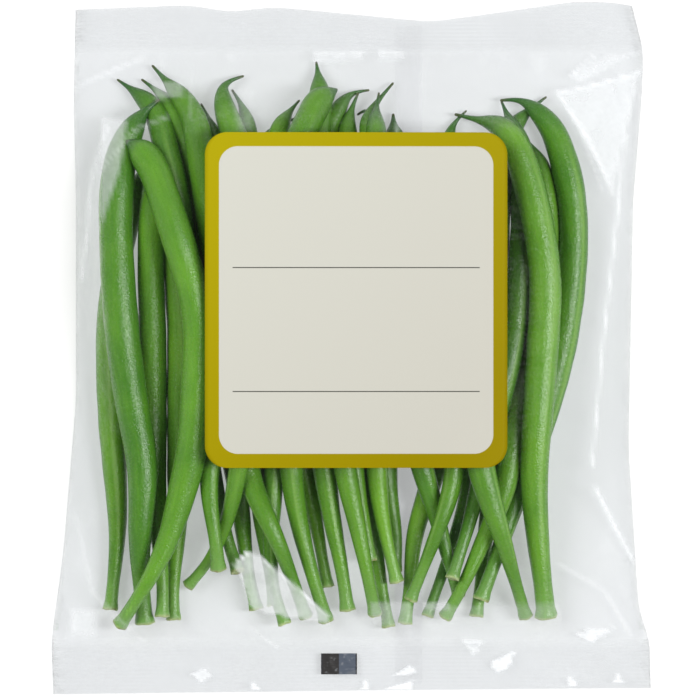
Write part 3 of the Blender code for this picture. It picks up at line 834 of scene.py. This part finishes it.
def label_piece(arch, box):
    """A thin rounded rectangle of paper, arched across the pack."""
    (x0, y0, _), (x1, y1, _) = box
    half, centre = (x1 - x0) / 2, (x1 + x0) / 2
    turn = np.linspace(0, math.pi / 2, 12)
    corner = LABEL_CORNER * (1 - np.cos(turn))
    inset = LABEL_CORNER * (1 - np.sin(turn))
    middle = np.linspace(y0 + corner[-1], y1 - corner[-1], 30)[1:-1]
    rows = list(zip(y0 + corner, inset)) + [(y, 0.0) for y in middle] + list(zip(y1 - corner, inset))[::-1]
    columns = np.linspace(-1, 1, 61)
    points = []
    for y, side in rows:
        for u in columns:
            x = centre + u * (half - side)
            points.append((x, y, np.interp(x, *arch) - LABEL_THICK))
    label = new_mesh("label_sheet", points, sheet_faces(len(rows), len(columns)))
    wall = label.modifiers.new("paper", "SOLIDIFY")
    wall.thickness = LABEL_THICK
    wall.offset = 1
    return label


def label_material(box):
    """Coated paper: a cream panel with two thin rules, inside an olive-yellow border. No print."""
    (x0, y0, _), (x1, y1, _) = box
    width, height = x1 - x0, y1 - y0
    n = Nodes("label_print")
    place = n.place()
    split = n.add("SeparateXYZ", {0: place})
    x = n.math("SUBTRACT", split.outputs[0], (x0 + x1) / 2)
    y = n.math("SUBTRACT", split.outputs[1], (y0 + y1) / 2)

    def inside_rounded(half_x, half_y, corner):
        """1 inside a rounded rectangle round the middle of the label, 0 outside it."""
        dx = n.math("MAXIMUM", n.math("SUBTRACT", n.math("ABSOLUTE", x), half_x - corner), 0.0)
        dy = n.math("MAXIMUM", n.math("SUBTRACT", n.math("ABSOLUTE", y), half_y - corner), 0.0)
        far = n.math("SQRT", n.math("ADD", n.math("MULTIPLY", dx, dx), n.math("MULTIPLY", dy, dy)))
        return n.range(far, corner - PRINT_EDGE, corner + PRINT_EDGE, 1.0, 0.0)

    def rule(height):
        """1 on the thin line at this height from the middle of the label, 0 off it."""
        across = n.math("LESS_THAN", n.math("ABSOLUTE", x), RULE_HALF_LENGTH)
        off = n.math("ABSOLUTE", n.math("SUBTRACT", y, height))
        on_line = n.range(off, RULE_HALF_WIDTH, RULE_HALF_WIDTH + PRINT_EDGE, 1.0, 0.0)
        return n.math("MULTIPLY", across, on_line)

    panel = inside_rounded(width / 2 - BORDER, height / 2 - BORDER, PANEL_CORNER)
    # Painted shade: the border and the panel darken from the upper left to the lower right
    slope = n.math("ADD", n.math("MULTIPLY", x, -5.5), n.math("MULTIPLY", y, 5.5))
    painted_shade = n.range(slope, -0.35, 0.5)
    olive = n.mix(painted_shade, *OLIVE)
    cream = n.mix(painted_shade, *CREAM)
    paper = n.noise(place, 900.0, 4.0, 0.6)
    cream = n.mix(n.range(paper, 0.3, 0.7, 0.0, 0.12), cream, CREAM_FIBRE)
    color = n.mix(panel, olive, cream)
    lines = n.math("MAXIMUM", *map(rule, RULES))
    color = n.mix(n.math("MULTIPLY", lines, 0.9), color, RULE_INK)
    bump = n.add("Bump", {"Strength": 0.15, "Distance": 0.05 * MM, "Height": paper})
    rough = n.range(paper, 0.2, 0.8, 0.42, 0.55)
    shader = n.add("BsdfPrincipled", {
        "Base Color": color, "Roughness": rough, "Normal": bump.outputs[0], "Specular IOR Level": 0.03,
    })
    return n.finish(shader.outputs[0])


# ------------------------------------------------------------------------------------- registration mark


def mark_piece():
    """The printed registration mark on the crimped band, a skin of ink on the film."""
    points = []
    for y in np.linspace(*MARK_Y, MARK_ROWS):
        for x in np.linspace(*MARK_X, MARK_COLUMNS):
            lift = rib_height(abs(y - LOW_SEAL), x) + band_dents(x, y)
            points.append((x, y, band_height(x, y) + lift + BAND_THICK / 2 + MARK_LIFT))
    return new_mesh("registration_mark", points, sheet_faces(MARK_ROWS, MARK_COLUMNS))


def mark_material():
    """Ink in two dark greys side by side, rubbed in spots."""
    n = Nodes("ink")
    place = n.place()
    x = n.add("SeparateXYZ", {0: place}).outputs[0]
    middle = (MARK_X[0] + MARK_X[1]) / 2
    side = n.range(x, middle - 0.1 * MM, middle + 0.1 * MM)
    color = n.mix(side, (0.035, 0.033, 0.033), (0.085, 0.1, 0.13))
    ends = n.range(n.math("ABSOLUTE", n.math("SUBTRACT", x, middle)), 4.7 * MM, 4.8 * MM)
    color = n.mix(ends, color, (0.03, 0.03, 0.035))
    spots = n.range(n.noise(place, 700.0, 3.0), 0.6, 0.75, 0.0, 0.5)
    color = n.mix(spots, color, (0.25, 0.26, 0.28))
    rough = n.range(spots, 0.0, 1.0, 0.4, 0.6)
    shader = n.add("BsdfPrincipled", {"Base Color": color, "Roughness": rough, "Specular IOR Level": 0.1})
    return n.finish(shader.outputs[0])


# ------------------------------------------------------------------------------- camera, floor and light


def make_camera():
    """A long lens straight above the pack, as the photo is taken."""
    data = bpy.data.cameras.new("camera")
    data.sensor_width = SENSOR
    data.lens = SENSOR * CAMERA_HEIGHT / VIEW_WIDTH
    camera = bpy.data.objects.new("camera", data)
    camera.location = Vector(PACK_MIDDLE) + Vector((0, 0, CAMERA_HEIGHT))
    bpy.context.scene.collection.objects.link(camera)
    bpy.context.scene.camera = camera


def make_floor():
    """A plain pale floor that glows faintly."""
    n = Nodes("floor")
    speckle = n.noise(n.place(), 60.0, 2.0)
    color = n.mix(speckle, (0.52, 0.52, 0.52), (0.54, 0.54, 0.54))
    shader = n.add("BsdfPrincipled", {
        "Base Color": color, "Roughness": 0.7, "Specular IOR Level": 0.1,
        "Emission Color": (1, 1, 1, 1), "Emission Strength": FLOOR_GLOW,
    })
    corners = [(FLOOR_HALF * x, FLOOR_HALF * y, 0) for x, y in ((-1, -1), (1, -1), (1, 1), (-1, 1))]
    floor = new_mesh("floor", corners, [(0, 1, 2, 3)])
    floor.location.z = -FLOOR_DROP
    floor.data.materials.append(n.finish(shader.outputs[0]))


def area_light(name, place, size, power, mirrored=True):
    """A soft box that faces the pack. One that isn't mirrored leaves no glare on the film."""
    data = bpy.data.lights.new(name, "AREA")
    data.shape = "RECTANGLE"
    data.size, data.size_y = size
    data.energy = power
    light = bpy.data.objects.new(name, data)
    light.location = place
    light.rotation_euler = (-Vector(place)).to_track_quat("-Z", "Y").to_euler()
    light.visible_glossy = mirrored
    bpy.context.scene.collection.objects.link(light)


def make_lights():
    area_light("key", KEY_PLACE, KEY_SIZE, KEY_POWER)
    area_light("fill", FILL_PLACE, FILL_SIZE, FILL_POWER, mirrored=False)


def make_world():
    """Bright walls and a darker ceiling, so that level film mirrors little."""
    world = bpy.data.worlds.new("studio")
    world.use_nodes = True
    nodes, links = world.node_tree.nodes, world.node_tree.links
    place = nodes.new("ShaderNodeTexCoord")
    split = nodes.new("ShaderNodeSeparateXYZ")
    links.new(place.outputs["Generated"], split.inputs[0])
    ceiling = nodes.new("ShaderNodeMapRange")
    ceiling.inputs[1].default_value, ceiling.inputs[2].default_value = 0.6, 0.97
    ceiling.inputs[3].default_value, ceiling.inputs[4].default_value = WALL_LIGHT, CEILING_LIGHT
    links.new(split.outputs[2], ceiling.inputs[0])
    links.new(ceiling.outputs[0], nodes["Background"].inputs[1])
    nodes["Background"].inputs[0].default_value = (1.0, 1.0, 0.99, 1)
    bpy.context.scene.world = world


# ------------------------------------------------------------------------------------------------- main


def add_pods():
    """A fine pod in place of each plain one of the frame. Returns their shapes, for the film."""
    rng = np.random.default_rng(SEED)
    greens = {slot: bean_material(slot, *colors) for slot, colors in GREENS.items()}
    shapes = []
    for name in POD_NODES:
        shape = pod_shape(NODES[name], rng)
        shapes.append(shape)
        bean = pod_piece(name.replace("pod", "bean"), shape, rng)
        bean.data.materials.append(greens[SLOTS[name]])
        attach(bean, "root")
        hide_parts(name)
    return shapes


def add_label(arch, box):
    label = label_piece(arch, box)
    label.data.materials.append(label_material(box))
    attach(label, "root")
    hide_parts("label")


def add_film(skin):
    """The pouch, in place of the frame's, and a material for the frame's own back seam."""
    film = film_piece(skin)
    clear = film_material("film", tint=(0.905, 0.912, 0.918), shine=1.0, haze=0.004, crimp_haze=0.06)
    film.data.materials.append(clear)
    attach(film, "root")
    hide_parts("bag_film")
    seam = NODES["back_seam"]
    seam.data.materials.clear()
    faint = film_material("film_seam", tint=(0.994, 0.994, 0.995), shine=0.3, haze=0.003, crimp_haze=0.0)
    seam.data.materials.append(faint)


def add_mark():
    mark = mark_piece()
    mark.data.materials.append(mark_material())
    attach(mark, "root")


def main():
    make_camera()
    make_floor()
    make_lights()
    make_world()
    bpy.context.scene.view_settings.view_transform = "Standard"
    shapes = add_pods()
    arch, box = label_arch()
    add_label(arch, box)
    add_film(Skin(shapes, arch, box))
    add_mark()


main()
